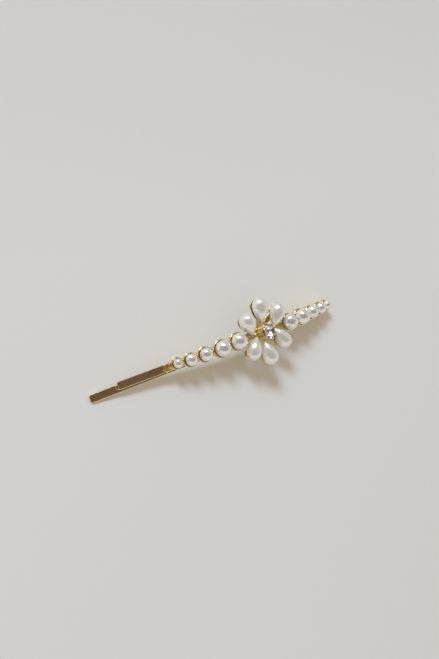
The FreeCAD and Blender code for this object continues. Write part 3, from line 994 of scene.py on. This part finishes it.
# ---------------------------------------------------------------- the stone and its claws
class PIN_OT_stone_cup(bpy.types.Operator):
    """Build the raised cup under the stone"""

    bl_idname = "pin.stone_cup"
    bl_label = "Stone Cup"
    bl_options = {"REGISTER", "UNDO"}

    def execute(self, context):
        size = context.scene.pin_sizes
        radius, wall, rim, low = (size.claw_cup_radius, size.claw_cup_wall, size.claw_cup_rim,
                                  size.claw_cup_low)
        foot = radius * 0.8
        half = wall / 2
        profile = [(0, low), (foot - 0.05 * MM, low)]
        profile += fillet(foot - 0.02 * MM, low + 0.1 * MM, 0.1 * MM, -90, 40, 4)
        profile += [(foot + (radius - foot) * math.sin(angle), low + 1.5 * MM - 1.2 * MM * math.cos(angle))
                    for angle in spread(0.1, math.pi / 2, 8)]
        profile += [(radius - 0.04 * MM, low + 1.7 * MM), (radius - 0.04 * MM, rim - 0.45 * MM)]
        profile += fillet(radius - 0.06 * MM, rim - 0.36 * MM, 0.06 * MM, -90, 90, 4)
        profile += fillet(radius - half, rim - half, half, 0, 180, 8)
        profile += [(radius - wall, low + 1.6 * MM), (foot - wall, low + 0.45 * MM),
                    (foot - wall - 0.15 * MM, low + 0.3 * MM), (0, low + 0.3 * MM)]
        cup = transformed(lathe(profile, 96), seat(0.0))
        gold_setting("stone_cup", cup, "claw_cup")
        return {"FINISHED"}


class PIN_OT_claws(bpy.types.Operator):
    """Build the claws that hold the stone"""

    bl_idname = "pin.claws"
    bl_label = "Claws"
    bl_options = {"REGISTER", "UNDO"}

    def execute(self, context):
        size = context.scene.pin_sizes
        girdle = size.stone_girdle
        route = [(size.claw_cup_radius - 0.02 * MM, girdle - 1.5 * MM),
                 (size.claw_cup_radius + 0.04 * MM, girdle - 1.0 * MM),
                 (size.claw_cup_radius + 0.08 * MM, girdle - 0.5 * MM),
                 (size.claw_cup_radius + 0.08 * MM, girdle),
                 (size.stone_radius + 0.18 * MM, girdle + 0.24 * MM),
                 (size.stone_radius - 0.04 * MM, girdle + 0.38 * MM),
                 (size.stone_radius - 0.24 * MM, girdle + 0.42 * MM)]
        mesh = bmesh.new()
        for index in range(size.claw_count):
            angle = 2 * math.pi * (index + 0.5) / size.claw_count
            out = Vector((math.cos(angle), math.sin(angle), 0))
            points = smooth_route([out * radius + Z * height for radius, height in route], 5)
            tube(points, size.claw_radius, 14, mesh, taper=lambda run: 0.75 + 0.35 * math.sin(run * 2.6))
        gold_setting("stone_claws", transformed(mesh, seat(0.0)), "claws")
        return {"FINISHED"}


def smooth_route(points, steps):
    """Points on a curve through the given ones."""
    route = []
    for i in range(len(points) - 1):
        before, a = points[max(i - 1, 0)], points[i]
        b, after = points[i + 1], points[min(i + 2, len(points) - 1)]
        for step in range(steps):
            t = step / steps
            route.append(0.5 * (2 * a + (b - before) * t + (2 * before - 5 * a + 4 * b - after) * t ** 2
                                + (3 * a - before - 3 * b + after) * t ** 3))
    return route + [points[-1]]


class PIN_OT_stone(bpy.types.Operator):
    """Build the round brilliant-cut stone"""

    bl_idname = "pin.stone"
    bl_label = "Stone"
    bl_options = {"REGISTER", "UNDO"}

    def execute(self, context):
        size = context.scene.pin_sizes
        radius, girdle = size.stone_radius, size.stone_girdle
        crown, pavilion = size.stone_crown, size.stone_pavilion
        mesh = bmesh.new()
        rings = [(8, 0.0, radius * 0.56, girdle + crown), (8, 0.5, radius * 0.80, girdle + crown * 0.55),
                 (16, 0.25, radius, girdle + 0.06 * MM), (16, 0.25, radius, girdle - 0.06 * MM),
                 (8, 0.5, radius * 0.42, girdle - pavilion * 0.62)]
        for count, shift, reach, height in rings:
            for i in range(count):
                angle = 2 * math.pi * (i / count) + 2 * math.pi * shift / 8
                mesh.verts.new((reach * math.cos(angle), reach * math.sin(angle), height))
        mesh.verts.new((0, 0, girdle - pavilion))
        hull = bmesh.ops.convex_hull(mesh, input=mesh.verts)
        loose = [item for item in hull["geom_interior"] if isinstance(item, bmesh.types.BMVert)]
        bmesh.ops.delete(mesh, geom=loose, context="VERTS")
        bmesh.ops.dissolve_limit(mesh, angle_limit=math.radians(0.5), verts=mesh.verts, edges=mesh.edges)
        piece("brilliant_stone", transformed(mesh, seat(0.0)), stone_finish(), UPPER, ["stone"],
              sharp=1.0)
        return {"FINISHED"}


class PIN_OT_hidden(bpy.types.Operator):
    """Give the posts and the foil inside the settings their finishes"""

    bl_idname = "pin.hidden"
    bl_label = "Posts and Foil"
    bl_options = {"REGISTER", "UNDO"}

    def execute(self, context):
        for node, finish in (("pearl_pegs", setting_gold()), ("petal_pegs", setting_gold()),
                             ("stone_foil", foil_finish())):
            materials = frame["nodes"][node].data.materials
            materials.clear()
            materials.append(finish)
        return {"FINISHED"}


# ---------------------------------------------------------------- studio
def aim(obj, place, target, across):
    """Puts an object at a place, facing the target, its width along the given direction."""
    back = (place - target).normalized()
    right = (across - back * across.dot(back)).normalized()
    turned = Matrix((right, back.cross(right), back)).transposed().to_4x4()
    obj.matrix_world = Matrix.Translation(place) @ turned


def camera_axes():
    """The camera's right, up and back directions."""
    look = studio()
    level = math.cos(look.view_elevation)
    back = Vector((math.sin(look.view_azimuth) * level, -math.cos(look.view_azimuth) * level,
                   math.sin(look.view_elevation)))
    right = Z.cross(back).normalized()
    up = back.cross(right)
    roll = look.view_roll
    return right * math.cos(roll) + up * math.sin(roll), up * math.cos(roll) - right * math.sin(roll), back


def view_target():
    """The point that the camera looks at, from the flower's place."""
    return on_pin(0.0) + VIEW_SHIFT


def area_light(name, place, target, width, height, power, colour, diffuse, glossy):
    data = bpy.data.lights.new(name, "AREA")
    data.shape = "ELLIPSE"
    data.size, data.size_y, data.energy, data.color = width, height, power, colour
    obj = bpy.data.objects.new(name, data)
    bpy.context.scene.collection.objects.link(obj)
    aim(obj, place, target, camera_axes()[0])
    obj.visible_camera = False
    obj.visible_diffuse = diffuse
    obj.visible_glossy = glossy


def floor_finish():
    """Plain paper with a faint grain, and painted shade that darkens it a little towards its back."""
    finish, tree, shader = new_finish("plain_floor")
    coordinates = tree.nodes.new("ShaderNodeTexCoord")
    grain = noise_of(tree, coordinates.outputs["Object"], 900.0, 3.0, 0.5)
    pale = list(studio().floor_tint)
    near = between(tree, grain, pale, [channel * 0.985 for channel in pale])
    split = tree.nodes.new("ShaderNodeSeparateXYZ")
    tree.links.new(coordinates.outputs["Object"], split.inputs[0])
    # painted shade: the floor's colour darkens towards +Y to stand for light falling off at the back of the
    # floor
    back = ranged(tree, split.outputs["Y"], 0.03, 0.16, 0.0, 1.0)
    tree.links.new(between(tree, back, near, [channel * 0.84 for channel in pale]),
                   shader.inputs["Base Color"])
    shader.inputs["Roughness"].default_value = 0.85
    shader.inputs["Specular IOR Level"].default_value = 0.2
    return finish


def facing(tree, vector, direction):
    """How far a direction lies along another, as a socket."""
    node = tree.nodes.new("ShaderNodeVectorMath")
    node.operation = "DOT_PRODUCT"
    node.inputs[1].default_value = direction
    tree.links.new(vector, node.inputs[0])
    return node.outputs["Value"]


def surround():
    """Even light from all round, with a dim room behind and to the right of the camera."""
    look = studio()
    world = bpy.data.worlds.new("studio_surround")
    bpy.context.scene.world = world
    world.use_nodes = True
    tree = world.node_tree
    background = tree.nodes["Background"]
    right, up, back = camera_axes()
    middle = (back + right * math.tan(look.room_right) + up * math.tan(look.room_up)).normalized()
    around = tree.nodes.new("ShaderNodeTexCoord").outputs["Generated"]
    parts = []
    for axis, half_angle in ((right, look.room_width / 2), (up, look.room_height / 2)):
        along = facing(tree, around, axis - middle * axis.dot(middle))
        spread_out = combined(tree, "DIVIDE", along, math.sin(half_angle))
        parts.append(combined(tree, "MULTIPLY", spread_out, spread_out))
    ahead = facing(tree, around, middle)
    ellipse = combined(tree, "ADD", parts[0], parts[1])
    outside = ranged(tree, ellipse, 0.7, 1.3, 0.0, 1.0)
    behind = ranged(tree, ahead, 0.05, 0.1, 1.0, 0.0)
    bright = combined(tree, "MAXIMUM", outside, behind)
    above = facing(tree, around, up)
    wall = between(tree, ranged(tree, above, 0.0, 0.8, 0.0, 1.0), look.wall_tint,
                   look.wall_top_tint)
    clutter = noise_of(tree, around, 22.0, 4.0, 0.6)
    glow = [channel * 2.2 for channel in look.room_tint]
    room = between(tree, ranged(tree, clutter, 0.5, 0.68, 0.0, 1.0), look.room_tint, glow)
    seen = between(tree, bright, room, wall)
    path = tree.nodes.new("ShaderNodeLightPath")
    met_matt = ranged(tree, path.outputs["Diffuse Depth"], 0.0, 1.0, 0.0, 1.0)
    tree.links.new(between(tree, met_matt, seen, look.ambient_tint), background.inputs["Color"])
    background.inputs["Strength"].default_value = look.ambient


class PIN_OT_stage(bpy.types.Operator):
    """Build the floor, lights, surround and camera"""

    bl_idname = "pin.stage"
    bl_label = "Stage"
    bl_options = {"REGISTER", "UNDO"}

    def execute(self, context):
        look = context.scene.pin_studio
        context.scene.view_settings.view_transform = "Standard"
        mesh = bmesh.new()
        bmesh.ops.create_grid(mesh, x_segments=24, y_segments=24, size=FLOOR_REACH)
        data = bpy.data.meshes.new("floor")
        mesh.to_mesh(data)
        mesh.free()
        data.materials.append(floor_finish())
        floor = bpy.data.objects.new("floor", data)
        context.scene.collection.objects.link(floor)
        right, up, back = camera_axes()
        target = view_target()
        flower = on_pin(0.0, 2.5 * MM)
        towards_key, towards_card = (
            (right * across + up * rise + back * near).normalized()
            for across, rise, near in (KEY_AXES, CARD_AXES))
        area_light("key", flower + towards_key * KEY_DISTANCE, flower, KEY_WIDTH, KEY_WIDTH,
                   look.key_power, KEY_COLOUR, True, False)
        area_light("softbox", flower + towards_card * CARD_DISTANCE, flower, CARD_WIDTH, CARD_HEIGHT,
                   look.card_power, CARD_COLOUR, False, True)
        surround()
        data = bpy.data.cameras.new("camera")
        data.lens = look.lens
        data.sensor_width = 36.0
        data.clip_start = 0.005
        data.clip_end = 20.0
        camera = bpy.data.objects.new("camera", data)
        context.scene.collection.objects.link(camera)
        axes = Matrix((right, up, back)).transposed().to_4x4()
        camera.matrix_world = Matrix.Translation(target + back * look.view_distance) @ axes
        context.scene.camera = camera
        return {"FINISHED"}


# ---------------------------------------------------------------- panel and registration
BUILD_ORDER = ("legs", "turn", "carrier", "cups", "pearls", "necks", "flower_plate", "trays", "petals",
               "stone_cup", "claws", "stone", "hidden", "stage")


class PIN_PT_panel(bpy.types.Panel):
    """Sidebar panel that lists the pin's pieces and their settings"""

    bl_idname = "PIN_PT_panel"
    bl_label = "Hair Pin"
    bl_space_type = "VIEW_3D"
    bl_region_type = "UI"
    bl_category = "Hair Pin"

    def draw(self, context):
        layout = self.layout
        for name in BUILD_ORDER:
            layout.operator(f"pin.{name}")
        for settings in (context.scene.pin_sizes, context.scene.pin_finishes, context.scene.pin_studio):
            box = layout.box()
            for label in settings.bl_rna.properties.keys():
                if label not in {"rna_type", "name"}:
                    box.prop(settings, label)


CLASSES = (PinSizes, PinFinishes, StudioSettings, PIN_OT_legs, PIN_OT_turn, PIN_OT_carrier, PIN_OT_cups,
           PIN_OT_pearls, PIN_OT_necks, PIN_OT_flower_plate, PIN_OT_trays, PIN_OT_petals,
           PIN_OT_stone_cup, PIN_OT_claws, PIN_OT_stone, PIN_OT_hidden, PIN_OT_stage, PIN_PT_panel)


def register():
    for cls in CLASSES:
        bpy.utils.register_class(cls)
    bpy.types.Scene.pin_sizes = PointerProperty(type=PinSizes)
    bpy.types.Scene.pin_finishes = PointerProperty(type=PinFinishes)
    bpy.types.Scene.pin_studio = PointerProperty(type=StudioSettings)


def unregister():
    del bpy.types.Scene.pin_studio
    del bpy.types.Scene.pin_finishes
    del bpy.types.Scene.pin_sizes
    for cls in reversed(CLASSES):
        bpy.utils.unregister_class(cls)


def main():
    register()
    for name in BUILD_ORDER:
        getattr(bpy.ops.pin, name)()


if __name__ == "__main__":
    main()
